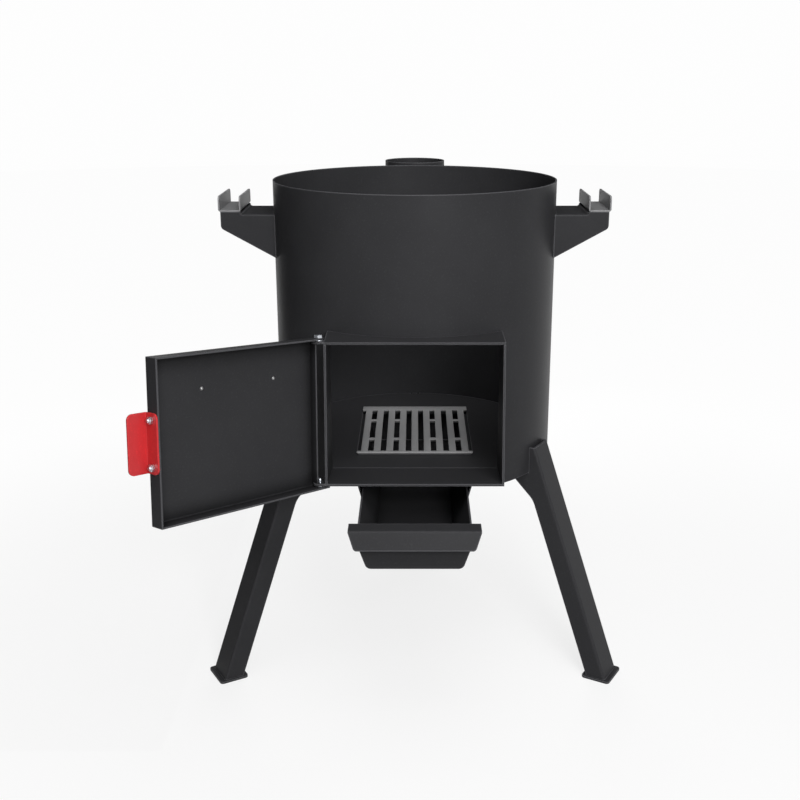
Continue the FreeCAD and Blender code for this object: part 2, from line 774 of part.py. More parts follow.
def make_drawer():
    outer, inner = trough_half("drawer_half", "drawer_slope", "drawer_sheet")
    depth = "(drawer_height - drawer_sheet)"
    right = [
        (inner(depth), f"-{depth}"),
        (inner("0"), "0"),
        (outer("0"), "0"),
        (outer("drawer_height"), "-drawer_height"),
    ]
    rear = frame(("0", f"{DRAWER_FRONT} + {DRAWER_LENGTH}", DRAWER_TOP))
    body = place(new_body("drawer_tray"), rear)
    pad(body, "XZ_Plane", [mirrored(right)], DRAWER_LENGTH)
    low = {"x": outer("drawer_height"), "z": "-drawer_height"}
    round_edges(body, "drawer_bend", low, {**low, "x": f"-{outer('drawer_height')}"})
    node(body, "drawer_tray")

    plate = mirrored([(inner(depth), f"-{depth}"), (inner("0"), "0")])
    body = place(new_body("drawer_back"), rear)
    pad(body, "XZ_Plane", [plate], "drawer_sheet")
    node(body, "drawer_back")


def make_drawer_front():
    body = place(new_body("drawer_front"), frame(("0", f"{DRAWER_FRONT} - drawer_sheet", DRAWER_TOP)))
    low_half = "(front_half - front_height * tan(front_slope))"
    plate = mirrored([("front_half", "0"), (low_half, "-front_height")])
    pad(body, "XZ_Plane", [plate], "drawer_sheet", back=True)
    round_edges(
        body, "front_corner",
        {"x": low_half, "z": "-front_height"},
        {"x": f"-{low_half}", "z": "-front_height"},
    )
    fold_y = "(-grip_reach)"
    tip_y = f"({fold_y} - grip_length * sin(grip_tilt))"
    tip_z = "(-grip_length * cos(grip_tilt))"
    across = "drawer_sheet / cos(grip_tilt)"
    grip = [
        ("0", "0"),
        (fold_y, "0"),
        (tip_y, tip_z),
        (f"{tip_y} + {across}", tip_z),
        (f"{fold_y} + {across} - drawer_sheet * tan(grip_tilt)", "-drawer_sheet"),
        ("0", "-drawer_sheet"),
    ]
    pad(body, "YZ_Plane", [grip], "2 * front_half", side="Symmetric")
    round_edges(body, "drawer_bend", {"y": fold_y, "z": "0"})
    taper = []
    for sign in ("", "-"):
        taper.append([
            (f"{sign}(front_half)", "-drawer_sheet"),
            (f"{sign}(front_half - grip_taper)", tip_z),
            (f"{sign}(front_half - grip_taper)", f"2 * {tip_z}"),
            (f"{sign}(2 * front_half)", f"2 * {tip_z}"),
            (f"{sign}(2 * front_half)", "-drawer_sheet"),
        ])
    pocket(body, "XZ_Plane", taper, "2 * (grip_reach + grip_length)", back=True)
    round_edges(
        body, "grip_corner",
        {"x": "front_half - grip_taper", "z": tip_z},
        {"x": "-(front_half - grip_taper)", "z": tip_z},
    )
    node(body, "drawer_front")


# Legs: folded channels that hug the drum and hook under its edge, each on a foot plate

LEG_SPANS = (("left", "180 + leg_angle"), ("right", "-leg_angle"), ("rear", "90"))


def leg_face(height):
    """Distance of a leg's outer face from the drum's axis at a height."""
    return f"(drum_radius + (stand_height + leg_overlap - ({height})) * tan(leg_tilt))"


def make_leg(side, turn):
    back = "(leg_depth / cos(leg_tilt))"
    knee = "(stand_height - hook_drop)"
    head = "(stand_height + leg_rise)"
    inside = "(drum_radius - hook_reach)"
    outline = [
        (leg_face("foot_sheet"), "foot_sheet"),
        (leg_face(head), head),
        (inside, head),
        (inside, "stand_height"),
        (f"{leg_face(knee)} - {back}", knee),
        (f"{leg_face('foot_sheet')} - {back}", "foot_sheet"),
    ]
    body = place(new_body(f"leg_{side}_channel"), frame("000", ("Z", turn)))
    pad(body, "XZ_Plane", [outline], "leg_width", side="Symmetric")
    round_edges(body, "hook_round", {"x": f"{leg_face(knee)} - {back}", "z": knee})
    low = {"x": leg_face("foot_sheet"), "z": "foot_sheet"}
    high = {"x": leg_face(head), "z": head}
    for edge in ("leg_width / 2", "-leg_width / 2"):
        round_edges(body, "leg_bend", ({**low, "y": edge}, {**high, "y": edge}))
    web = "(leg_sheet / cos(leg_tilt))"
    hollow = [
        (f"{leg_face('0')} - {web}", "0"),
        (f"{leg_face(f'2 * {head}')} - {web}", f"2 * {head}"),
        ("-drum_radius", f"2 * {head}"),
        ("-drum_radius", "0"),
    ]
    pocket(body, "XZ_Plane", [hollow], "leg_width - 2 * leg_sheet", side="Symmetric")
    trim = drum_cutter(f"leg_{side}_trim", "stand_height", f"2 * {head}")
    node(cut(f"leg_{side}", body, trim), f"leg_{side}")


def make_foot(side, turn):
    middle = f"{leg_face('foot_sheet')} - leg_depth / cos(leg_tilt) / 2"
    body = place(new_body(f"foot_{side}"), frame("000", ("Z", turn)), frame((middle, "0", "0")))
    outline = mirrored([("foot_length / 2", "-foot_width / 2"), ("foot_length / 2", "foot_width / 2")])
    pad(body, "XY_Plane", [outline], "foot_sheet")
    corners = [
        {"x": f"{across} * foot_length / 2", "y": f"{along} * foot_width / 2"}
        for across in (1, -1) for along in (1, -1)
    ]
    round_edges(body, "foot_corner", *corners)
    node(body, f"foot_{side}")


# Side brackets: an inverted channel on the drum's wall, with a cradle on its outer end

BRACKET_TIP = "(drum_radius + bracket_reach)"
CRADLE_OUTER = f"({BRACKET_TIP} + cradle_overhang)"
CRADLE_INNER = f"({CRADLE_OUTER} - cradle_width)"


def make_bracket(side, turn):
    seat = "(-cradle_drop)"
    web = "(-bracket_drop)"
    tip = f"({seat} - bracket_end)"
    root = "(drum_radius / 2)"
    lower = f"({tip} - ({BRACKET_TIP} - {root}) * tan(bracket_slope))"
    outline = [
        (root, web),
        (CRADLE_INNER, web),
        (CRADLE_INNER, seat),
        (BRACKET_TIP, seat),
        (BRACKET_TIP, tip),
        (root, lower),
    ]
    body = place(new_body(f"bracket_{side}_blank"), frame(("0", "0", RIM), ("Z", turn)))
    pad(body, "XZ_Plane", [outline], "bracket_width", side="Symmetric")
    round_edges(body, "bracket_corner", {"x": BRACKET_TIP, "z": tip})
    round_edges(body, "bracket_drop - cradle_drop - bracket_step", {"x": CRADLE_INNER, "z": web})
    round_edges(
        body, "bracket_bend",
        {"y": "bracket_width / 2", "z": web},
        {"y": "-bracket_width / 2", "z": web},
    )
    hollow = [
        ("0", f"{web} - bracket_sheet"),
        (CRADLE_INNER, f"{web} - bracket_sheet"),
        (CRADLE_INNER, "0"),
        (f"2 * {BRACKET_TIP}", "0"),
        (f"2 * {BRACKET_TIP}", f"2 * {lower}"),
        ("0", f"2 * {lower}"),
    ]
    pocket(body, "XZ_Plane", [hollow], "bracket_width - 2 * bracket_sheet", side="Symmetric")
    trim = drum_cutter(f"bracket_{side}_trim", "stand_height", RIM)
    node(cut(f"bracket_{side}", body, trim), f"bracket_{side}")


def make_cradle(side, turn):
    top = "cradle_height"
    wall = "cradle_sheet"
    channel = [
        (CRADLE_INNER, "0"),
        (CRADLE_OUTER, "0"),
        (CRADLE_OUTER, top),
        (f"{CRADLE_OUTER} - {wall}", top),
        (f"{CRADLE_OUTER} - {wall}", wall),
        (f"{CRADLE_INNER} + {wall}", wall),
        (f"{CRADLE_INNER} + {wall}", top),
        (CRADLE_INNER, top),
    ]
    body = place(new_body(f"cradle_{side}"), frame(("0", "0", f"{RIM} - cradle_drop"), ("Z", turn)))
    pad(body, "XZ_Plane", [channel], "bracket_width", side="Symmetric")
    round_edges(
        body, "cradle_corner",
        {"y": "bracket_width / 2", "z": top},
        {"y": "-bracket_width / 2", "z": top},
    )
    round_edges(body, "cradle_bend", {"x": CRADLE_OUTER, "z": "0"}, {"x": CRADLE_INNER, "z": "0"})
    node(body, f"cradle_{side}")


# Flue: a stub from the drum's back, a mitred riser and a collar for the chimney pipe

def make_flue():
    bore = "(elbow_radius - flue_wall)"
    far = "(2 * elbow_radius)"
    level = f"({RIM} - flue_drop)"
    axis_y = "(drum_radius + flue_reach)"
    ring = [("0", "0", "elbow_radius"), ("0", "0", bore)]

    stub = place(new_body("flue_stub_pipe"), frame(("0", axis_y, level)))
    pipe = pad(stub, "XZ_Plane", ring, axis_y)
    pipe.SideType = "Two sides"
    pipe.setExpression("Length2", bound("elbow_radius"))
    doc.recompute()
    behind = [(f"-{far}", far), (far, far), (far, f"-{far}")]
    pocket(stub, "YZ_Plane", [behind], f"2 * {far}", side="Symmetric")
    trim = drum_cutter("flue_stub_trim", "stand_height", RIM)
    node(cut("flue_stub", stub, trim), "flue_stub")

    riser = place(new_body("flue_elbow"), frame(("0", axis_y, level)))
    pipe = pad(riser, "XY_Plane", ring, "flue_drop + collar_rise - collar_length")
    pipe.SideType = "Two sides"
    pipe.setExpression("Length2", bound("elbow_radius"))
    doc.recompute()
    ahead = [(f"-{far}", far), (far, f"-{far}"), (f"-{far}", f"-{far}")]
    pocket(riser, "YZ_Plane", [ahead], f"2 * {far}", side="Symmetric")
    node(riser, "flue_elbow")

    base = f"{RIM} + collar_rise - collar_length"
    collar = place(new_body("flue_collar"), frame(("0", axis_y, base)))
    socket = [("0", "0", "collar_radius"), ("0", "0", "collar_radius - flue_wall")]
    pad(collar, "XY_Plane", socket, "collar_length")
    node(collar, "flue_collar")


make_drum()
make_floor()
make_portal()
make_hinge()
make_door()
make_handle()
make_badge()
make_grate()
make_ash_box()
make_drawer()
make_drawer_front()
for side, turn in LEG_SPANS:
    make_leg(side, turn)
    make_foot(side, turn)
for side, turn in (("left", "180"), ("right", "0")):
    make_bracket(side, turn)
    make_cradle(side, turn)
make_flue()
doc.recompute()

# Every feature is sound and every piece is a valid solid before any file is written
for thing in doc.Objects:
    if "Invalid" in thing.State or "Error" in thing.State:
        raise ValueError(f"{thing.Name} failed: {thing.State}")
for piece in subparts:
    if piece.Shape.isNull() or not piece.Shape.isValid() or not piece.Shape.Solids:
        raise ValueError(f"{piece.Label} has no valid solid")

os.makedirs("parts", exist_ok=True)
for piece in subparts:
    piece.Shape.exportStep(f"parts/{piece.Label}.step")
    print(f"{piece.Label}: {len(piece.Shape.Solids)} solid(s), {piece.Shape.Volume / 1000:.2f} cm3")
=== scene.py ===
# %% [markdown]
# A cauldron stove, dressed piece by piece. The steel pieces come from a CAD model that already has the
# right shapes and joints. This lesson keeps the ones that are right, models the small hardware and the
# casting anew, and gives every surface a finish.

# %% Load the frame
import json
import math

import bpy
from mathutils import Matrix, Vector


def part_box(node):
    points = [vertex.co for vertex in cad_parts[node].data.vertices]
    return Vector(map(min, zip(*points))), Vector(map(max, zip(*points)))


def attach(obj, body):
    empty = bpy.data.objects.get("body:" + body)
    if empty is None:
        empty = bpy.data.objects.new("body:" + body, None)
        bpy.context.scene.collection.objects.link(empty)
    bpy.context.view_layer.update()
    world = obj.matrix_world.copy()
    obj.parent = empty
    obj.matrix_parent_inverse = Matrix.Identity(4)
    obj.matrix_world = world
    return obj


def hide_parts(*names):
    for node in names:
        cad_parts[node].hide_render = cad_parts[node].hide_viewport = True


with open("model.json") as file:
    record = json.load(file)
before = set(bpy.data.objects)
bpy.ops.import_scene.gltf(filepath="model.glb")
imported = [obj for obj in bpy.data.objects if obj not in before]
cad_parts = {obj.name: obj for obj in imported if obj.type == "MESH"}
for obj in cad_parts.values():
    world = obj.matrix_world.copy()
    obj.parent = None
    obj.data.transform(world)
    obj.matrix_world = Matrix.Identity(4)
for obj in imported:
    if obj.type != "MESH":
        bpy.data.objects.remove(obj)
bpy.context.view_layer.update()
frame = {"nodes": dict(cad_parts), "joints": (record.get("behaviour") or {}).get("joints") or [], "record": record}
nodes = frame["nodes"]
slot_of = {part["node"]: part["material_slot"] for part in frame["record"]["subparts"]}

# %% [markdown]
# The camera stands in front of the stove at about waist height and looks down at the open fire door. A
# camera can be aimed by a constraint or set by hand. Here its settings are given: a real lens on a real
# sensor, a downward tilt, and a small sideways shift, because the stove isn't quite in the middle of the
# picture.

# %% Camera
CAMERA_AT = (0.0, -1.5954, 0.8622)
CAMERA_TILT = 72.8575
CAMERA_SHIFT = -0.0185
LENS = 50
SENSOR_WIDTH = 36

bpy.ops.object.camera_add(location=CAMERA_AT, rotation=(math.radians(CAMERA_TILT), 0, 0))
camera = bpy.context.object
camera.name = "camera"
camera.data.lens = LENS
camera.data.sensor_width = SENSOR_WIDTH
camera.data.shift_x = CAMERA_SHIFT
bpy.context.scene.camera = camera
print("camera at", camera.location[:], "tilted", CAMERA_TILT)

# %% [markdown]
# Every finish below is a small graph of shader nodes. Wiring them one line at a time hides the idea, so
# two helpers come first. The first is a wire that Python can do sums with, because a sum reads better
# than a node.

# %% Wires
class Wire:
    """An output socket. Sums on wires add Math nodes."""

    def __init__(self, finish, socket):
        self.finish = finish
        self.socket = socket

    def math(self, operation, *values):
        """Adds one Math node."""
        return self.finish.node("ShaderNodeMath", {"operation": operation}, dict(enumerate(values)))

    def __add__(self, other):
        return self.math("ADD", self, other)

    def __radd__(self, other):
        return self.math("ADD", other, self)

    def __sub__(self, other):
        return self.math("SUBTRACT", self, other)

    def __rsub__(self, other):
        return self.math("SUBTRACT", other, self)

    def __mul__(self, other):
        return self.math("MULTIPLY", self, other)

    def __rmul__(self, other):
        return self.math("MULTIPLY", other, self)

    def between(self, low, high):
        """0 below low, 1 above high, and a smooth step between them."""
        sockets = {"Value": self, "From Min": low, "From Max": high}
        return self.finish.node("ShaderNodeMapRange", {"interpolation_type": "SMOOTHSTEP"}, sockets)


print("wires can be added, subtracted and multiplied")

# %% [markdown]
# The second helper is a finish: a material that adds any node in one call. Its other methods are the
# patterns that the finishes share. Sharp edges could be painted by hand on each piece, but the Bevel node
# finds them all by itself, and Ambient Occlusion does the same for the folds.

# %% Finish helper
MIX_FACTOR, MIX_FIRST, MIX_SECOND, MIX_RESULT = 0, 6, 7, 2
EDGE_SAMPLES = 4
CORNER_SAMPLES = 6
FLAT_BELOW, EDGE_ABOVE = 0.02, 0.25


class Finish:
    """A material whose nodes are added by one method."""

    def __init__(self, name):
        self.material = bpy.data.materials.new(name)
        self.material.use_nodes = True
        self.tree = self.material.node_tree
        self.tree.nodes.clear()

    def node(self, kind, settings=None, sockets=None, output=0):
        """Adds a node: its settings first, then the values or links of its sockets."""
        made = self.tree.nodes.new(kind)
        for name, value in (settings or {}).items():
            setattr(made, name, value)
        for key, value in (sockets or {}).items():
            if isinstance(value, Wire):
                self.tree.links.new(value.socket, made.inputs[key])
            else:
                made.inputs[key].default_value = value
        return Wire(self, made.outputs[output]) if made.outputs else None

    def mix(self, factor, first, second):
        """A colour between two colours."""
        sockets = {MIX_FACTOR: factor, MIX_FIRST: first, MIX_SECOND: second}
        return self.node("ShaderNodeMix", {"data_type": "RGBA"}, sockets, output=MIX_RESULT)

    def noise(self, scale, detail=2.0, roughness=0.5, squeeze=(1, 1, 1)):
        """Cloudy noise in the object's own metres, finer along the axes that are squeezed."""
        place = self.node("ShaderNodeTexCoord", output="Object")
        mapped = self.node("ShaderNodeMapping", {}, {"Vector": place, "Scale": squeeze})
        sockets = {"Vector": mapped, "Scale": scale, "Detail": detail, "Roughness": roughness}
        return self.node("ShaderNodeTexNoise", {}, sockets)

    def rounded(self, radius):
        """The normal that the surface would have with its edges softened to a radius."""
        return self.node("ShaderNodeBevel", {"samples": EDGE_SAMPLES}, {"Radius": radius})

    def edges(self, rounded):
        """1 on sharp edges, 0 on flats: how far a rounded normal leans from the true one."""
        true = self.node("ShaderNodeNewGeometry", output="Normal")
        settings = {"operation": "DOT_PRODUCT"}
        along = self.node("ShaderNodeVectorMath", settings, {0: rounded, 1: true}, output="Value")
        return (1 - along).between(FLAT_BELOW, EDGE_ABOVE)

    def corners(self, reach, inside=False):
        """1 deep in the piece's own inner corners, 0 in the open. Inside the sheet, its outer bends."""
        settings = {"samples": CORNER_SAMPLES, "only_local": True, "inside": inside}
        openness = self.node("ShaderNodeAmbientOcclusion", settings, {"Distance": reach}, output="AO")
        return 1 - openness

    def bump(self, height, strength, depth, normal):
        """A normal with a fine pattern raised on it."""
        sockets = {"Strength": strength, "Distance": depth, "Height": height, "Normal": normal}
        return self.node("ShaderNodeBump", {}, sockets)

    def shade(self, **sockets):
        """The surface itself."""
        sockets = {name.replace("_", " "): value for name, value in sockets.items()}
        surface = self.node("ShaderNodeBsdfPrincipled", {}, sockets)
        return self.cover(surface)

    def cover(self, surface):
        """Puts a surface on the material's output and hands the material over."""
        self.node("ShaderNodeOutputMaterial", {}, {"Surface": surface})
        return self.material


def grey(value):
    """A grey without a tint."""
    return (value, value, value, 1)


print("finish helper with", [name for name in vars(Finish) if not name.startswith("_")])

# %% [markdown]
# The stove stands in a plain studio. The floor and the wall around it are white to the eye and in
# reflections, but hand back little light, so the dark paint keeps its depth. Round the stove the floor is
# partly a plain white surface, which keeps the soft shadow under the legs. Above head height the wall
# fades to grey, because a white sky would wash out every level surface.

# %% Floor and backdrop
STUDIO_RADIUS = 8.0
STUDIO_SIDES = 96
BACKDROP_HEIGHT = 6.0
WHITE_UP_TO, GREY_FROM = 1.5, 3.0
FLOOR_WHITE, FLOOR_SKY = 0.975, 1.0
BACKDROP_WHITE, BACKDROP_SKY = 0.985, 0.35
DULL_BOUNCE, DULL_SEEN = 0.35, 0.95
SHADOW_NEAR, SHADOW_FAR = 0.45, 1.3
SHADOW_SHARE = 0.2


def studio_finish(name, floor_level, sky_level):
    """White for the eye and in reflections, dull for other light. It fades to the sky level with height."""
    finish = Finish(name)
    camera_ray, glossy_ray, clear_ray = [
        finish.node("ShaderNodeLightPath", output=f"Is {kind} Ray")
        for kind in ("Camera", "Glossy", "Transmission")
    ]
    place = finish.node("ShaderNodeTexCoord", output="Object")
    height = finish.node("ShaderNodeSeparateXYZ", {}, {0: place}, output="Z")
    shade = finish.mix(height.between(WHITE_UP_TO, GREY_FROM), grey(1.0), grey(sky_level))
    tone = finish.mix(camera_ray, grey(DULL_BOUNCE), grey(DULL_SEEN))
    dull = finish.node("ShaderNodeBsdfDiffuse", {}, {"Color": tone})
    white = finish.node("ShaderNodeEmission", {}, {"Color": shade, "Strength": 1.0})
    distance = finish.node("ShaderNodeVectorMath", {"operation": "LENGTH"}, {0: place}, output="Value")
    shadowed = (1 - distance.between(SHADOW_NEAR, SHADOW_FAR)) * SHADOW_SHARE
    watched = (camera_ray + glossy_ray + clear_ray) * (floor_level - shadowed)
    return finish.cover(finish.node("ShaderNodeMixShader", {}, {0: watched, 1: dull, 2: white}))


bpy.ops.object.select_all(action="DESELECT")
bpy.ops.mesh.primitive_circle_add(vertices=STUDIO_SIDES, radius=STUDIO_RADIUS, fill_type="NGON")
floor = bpy.context.object
floor.name = "floor"
floor.data.materials.append(studio_finish("floor_white", FLOOR_WHITE, FLOOR_SKY))
bpy.ops.mesh.primitive_cylinder_add(
    vertices=STUDIO_SIDES, radius=STUDIO_RADIUS, depth=BACKDROP_HEIGHT, end_fill_type="NOTHING",
    location=(0, 0, BACKDROP_HEIGHT / 2),
)
bpy.ops.object.transform_apply(location=True)
backdrop = bpy.context.object
backdrop.name = "backdrop"
backdrop.data.materials.append(studio_finish("backdrop_white", BACKDROP_WHITE, BACKDROP_SKY))
print("studio radius", STUDIO_RADIUS)

# %% [markdown]
# A white room alone would put a pale sheen on every side. So cards stand out of sight, as a photographer
# would set them up, and keep some sides dark: black ones stand left of the drum and behind it, and a grey
# one lies beside the left leg. The camera doesn't see them, but the paint mirrors them.

# %% Cards
CARD_AWAY = 1.5
CARD_HEIGHT = 1.2
BLACK_TONE = 0.01
LOW_TONE = 0.55
LOW_WIDTH, LOW_DEPTH = 1.1, 1.3
LOW_AT = (-0.88, 0.3, 0.002)


def card(name, tone, width, height, place, rotation):
    """A card that only shows in reflections."""
    bpy.ops.mesh.primitive_plane_add(size=1, location=place, rotation=rotation)
    sheet = bpy.context.object
    sheet.name = name
    sheet.scale = (width, height, 1)
    sheet.visible_camera = False
    finish = Finish(name)
    paper = finish.node("ShaderNodeBsdfDiffuse", {}, {"Color": grey(tone)})
    sheet.data.materials.append(finish.cover(paper))
    return sheet


def standing_card(name, turn, width, bottom):
    """A black card that faces the stove from a turn right of the front, in degrees."""
    turn = math.radians(turn)
    place = (CARD_AWAY * math.sin(turn), -CARD_AWAY * math.cos(turn), bottom + CARD_HEIGHT / 2)
    return card(name, BLACK_TONE, width, CARD_HEIGHT, place, (math.pi / 2, 0, turn))


left_card = standing_card("left_card", turn=-100, width=2.4, bottom=0)
back_card = standing_card("back_card", turn=180, width=1.4, bottom=0.55)
low_card = card("low_card", LOW_TONE, LOW_WIDTH, LOW_DEPTH, LOW_AT, (0, 0, 0))
low_card.visible_shadow = False
print("cards:", [sheet.name for sheet in (left_card, back_card, low_card)])

# %% [markdown]
# Four soft lamps light the stove as a product studio would. Two in front make the shapes, one overhead
# lights the level sheets, and one low behind keeps the back from sinking into black. They give about as
# much light as a white card needs to look white, so each colour below is seen nearly as it is written.

# %% Lights
TARGET = Vector((0, -0.1, 0.45))
WORLD_GREY = 0.05


def softbox(name, turn, rise, distance, size, power):
    """A square lamp that looks at the stove from a turn right of the front and a rise, in degrees."""
    turn, rise = math.radians(turn), math.radians(rise)
    away = Vector((math.cos(rise) * math.sin(turn), -math.cos(rise) * math.cos(turn), math.sin(rise)))
    bpy.ops.object.light_add(type="AREA", location=TARGET + away * distance)
    lamp = bpy.context.object
    lamp.name = name
    lamp.rotation_euler = away.to_track_quat("Z", "Y").to_euler()
    lamp.data.size = size
    lamp.data.energy = power
    lamp.visible_camera = False
    return lamp


softbox("front_softbox", turn=15, rise=20, distance=3.0, size=0.9, power=49)
softbox("high_softbox", turn=8, rise=50, distance=3.0, size=1.8, power=34)
softbox("top_softbox", turn=0, rise=78, distance=2.6, size=2.0, power=22)
back_softbox = softbox("back_softbox", turn=180, rise=12, distance=1.35, size=1.0, power=9)
back_softbox.visible_glossy = False

world = bpy.data.worlds.new("studio_dark")
bpy.context.scene.world = world
world.use_nodes = True
world.node_tree.nodes["Background"].inputs["Color"].default_value = grey(WORLD_GREY)
bpy.context.scene.view_settings.view_transform = "Standard"

# %% [markdown]
# The stove is sprayed with a satin heat-proof coat. It is almost black, faintly cloudy, and covered with
# the fine pebbling that such a coat dries to. A rounded normal along the sheet edges catches the light as
# a real, slightly soft edge does. The colour is painted lighter on the edges and outer bends, partly as
# wear and partly as a painted highlight, and darker in the inner corners as painted shade.

# %% Coats
EDGE_REACH = 0.0015
FOLD_REACH = 0.025
CLOUD_STEP = (0.3, 0.7)
FLECK_STEP = (0.55, 0.75)
EDGE_ENDS_STEP = (0.1, 0.3)
BEND_STEP = (0.0, 0.3)
FOLD_SHADE_STEP = (0.0, 0.6)
CLOUD_DARK, CLOUD_LIGHT = 0.95, 1.05
FLECK_LIGHT, FLECK_SHARE = 1.6, 0.3
# How much lighter edges and bends are painted: partly wear, partly a painted highlight.
WEAR_AND_HIGHLIGHT_GAIN = 3
# How dark the painted shade in the inner corners is.
FOLD_PAINTED_SHADE = 0.25
GLOSS_SPREAD = 0.12


def times(shade, factor):
    """A colour that is lighter or darker by a factor."""
    return [factor * part for part in shade] + [1]


def coat(name, shade, roughness, wear_and_highlight, level=0.3, fold_shade=1.0):
    """A sprayed coat: painted highlight and wear on edges, painted shade in corners, a level of mirroring."""
    finish = Finish(name)
    cloud = finish.noise(scale=14, detail=4, roughness=0.6)
    fleck = finish.noise(scale=420)
    pebble = finish.noise(scale=900)
    rounded = finish.rounded(EDGE_REACH)
    edge = finish.edges(rounded)
    fold = finish.corners(FOLD_REACH)
    bend = finish.corners(EDGE_REACH, inside=True)
    colour = finish.mix(cloud.between(*CLOUD_STEP), times(shade, CLOUD_DARK), times(shade, CLOUD_LIGHT))
    colour = finish.mix(fleck.between(*FLECK_STEP) * FLECK_SHARE, colour, times(shade, FLECK_LIGHT))
    # Edges and outer bends are painted lighter: partly wear, partly a painted highlight.
    colour = finish.mix((edge - fold.between(*EDGE_ENDS_STEP)) * wear_and_highlight, colour, times(shade, WEAR_AND_HIGHLIGHT_GAIN))
    colour = finish.mix(bend.between(*BEND_STEP) * wear_and_highlight, colour, times(shade, WEAR_AND_HIGHLIGHT_GAIN))
    # Inner corners are painted darker: painted shade.
    colour = finish.mix(fold.between(*FOLD_SHADE_STEP) * fold_shade, colour, times(shade, FOLD_PAINTED_SHADE))
    return finish.shade(
        Base_Color=colour,
        Roughness=roughness + (cloud - 0.5) * GLOSS_SPREAD,
        Specular_IOR_Level=level,
        Normal=finish.bump(pebble, strength=0.25, depth=0.0002, normal=rounded),
    )


finishes = {
    "black_paint": coat("black_paint", (0.036, 0.036, 0.0385), roughness=0.4, wear_and_highlight=0.9, level=0.07),
    "grey_paint": coat("grey_paint", (0.21, 0.21, 0.215), roughness=0.5, wear_and_highlight=0.2, fold_shade=0.2),
    "red_paint": coat("red_paint", (0.56, 0.027, 0.031), roughness=0.4, wear_and_highlight=0.1, level=0.45, fold_shade=0.0),
    "cast_grate": coat("cast_grate", (0.33, 0.33, 0.335), roughness=0.6, wear_and_highlight=0.05),
}
print("coats:", sorted(finishes))

# %% [markdown]
# The hardware is bare metal: zinc-plated bolts, and a brushed steel plate with its rivets. Both are full
# metal, so their look comes from what they mirror. Cloudy noise breaks the reflections up, and squeezing
# it along one axis turns the clouds into the fine lines of a brush.

# %% Bare metals
METAL_EDGE = 0.0004
METAL_DARK = 0.7
METAL_DULLING = 0.15
BRUSHED = (1, 1, 12)


def bare_metal(name, shade, roughness, squeeze=(1, 1, 1)):
    """Metal that is cloudy, or brushed where its noise is squeezed."""
    finish = Finish(name)
    cloud = finish.noise(scale=60, detail=4, roughness=0.6, squeeze=squeeze)
    fine = finish.noise(scale=900, detail=3, roughness=0.6, squeeze=squeeze)
    return finish.shade(
        Base_Color=finish.mix(cloud.between(*CLOUD_STEP), times(shade, METAL_DARK), times(shade, 1)),
        Metallic=1.0,
        Roughness=roughness + cloud * METAL_DULLING,
        Normal=finish.bump(fine, strength=0.15, depth=0.0001, normal=finish.rounded(METAL_EDGE)),
    )


finishes["zinc_steel"] = bare_metal("zinc_steel", (0.72, 0.75, 0.8), roughness=0.28)
finishes["badge_steel"] = bare_metal("badge_steel", (0.45, 0.45, 0.45), roughness=0.36, squeeze=BRUSHED)
for name, thing in nodes.items():
    thing.data.materials.clear()
    thing.data.materials.append(finishes[slot_of[name]])
print("finishes:", sorted(finishes))

# %% [markdown]
# The steel sheets keep their CAD shapes. The hardware and the casting are modelled anew, because they
# have what a CAD solid leaves out: threads, turned corners and soft cast edges. A few helpers keep each
# piece short. They do what a hand does over and over: add a primitive with nothing else selected, select,
# extrude, and apply a modifier.

# %% Modelling helpers
MM = 0.001
SHARP = math.radians(40)


def begin(primitive, **settings):
    """A new primitive, alone in the selection."""
    bpy.ops.object.select_all(action="DESELECT")
    primitive(**settings)
    return bpy.context.object


def edit_all():
    """Goes into edit mode with everything selected."""
    bpy.ops.object.mode_set(mode="EDIT")
    bpy.ops.mesh.select_all(action="SELECT")


def select_faces(piece, test):
    """Goes into edit mode with only the faces selected whose middle passes the test."""
    bpy.ops.object.mode_set(mode="EDIT")
    bpy.ops.mesh.select_mode(type="FACE")
    bpy.ops.mesh.select_all(action="DESELECT")
    bpy.ops.object.mode_set(mode="OBJECT")
    for face in piece.data.polygons:
        face.select = test(face.center)
    bpy.ops.object.mode_set(mode="EDIT")


def extrude(rise):
    """Extrudes what is selected up, or down where the rise is negative, in millimetres."""
    bpy.ops.mesh.extrude_region_move(TRANSFORM_OT_translate={"value": (0, 0, rise * MM)})


def face_outwards():
    """Turns every face outwards and leaves edit mode."""
    bpy.ops.mesh.select_all(action="SELECT")
    bpy.ops.mesh.normals_make_consistent(inside=False)
    bpy.ops.object.mode_set(mode="OBJECT")


def apply_modifier(piece, kind, **settings):
    """Adds a modifier to a piece and applies it."""
    modifier = piece.modifiers.new(kind.lower(), kind)
    for name, value in settings.items():
        setattr(modifier, name, value)
    bpy.context.view_layer.objects.active = piece
    bpy.ops.object.modifier_apply(modifier=modifier.name)


def soften(piece, width, segments):
    """Bevels a piece's sharp edges."""
    apply_modifier(
        piece, "BEVEL", width=width * MM, segments=segments, limit_method="ANGLE", angle_limit=SHARP,
    )


print("modelling in steps of", MM, "m")

# %% [markdown]
# A finished piece is joined, copied where it repeats, and put in its place. It is then hung on the body it
# rides on, the CAD node it stands for is hidden, and it wears that node's finish. One helper does all of
# that, so that no piece can forget a part of it.

# %% Settling helpers
SMOOTH_BELOW = math.radians(35)


def join(*pieces):
    """One object from several, named as the first."""
    bpy.ops.object.select_all(action="DESELECT")
    for piece in pieces:
        piece.select_set(True)
    bpy.context.view_layer.objects.active = pieces[0]
    bpy.ops.object.join()
    return pieces[0]


def copy_of(piece):
    """A second piece with a mesh of its own."""
    twin = piece.copy()
    twin.data = piece.data.copy()
    bpy.context.collection.objects.link(twin)
    return twin


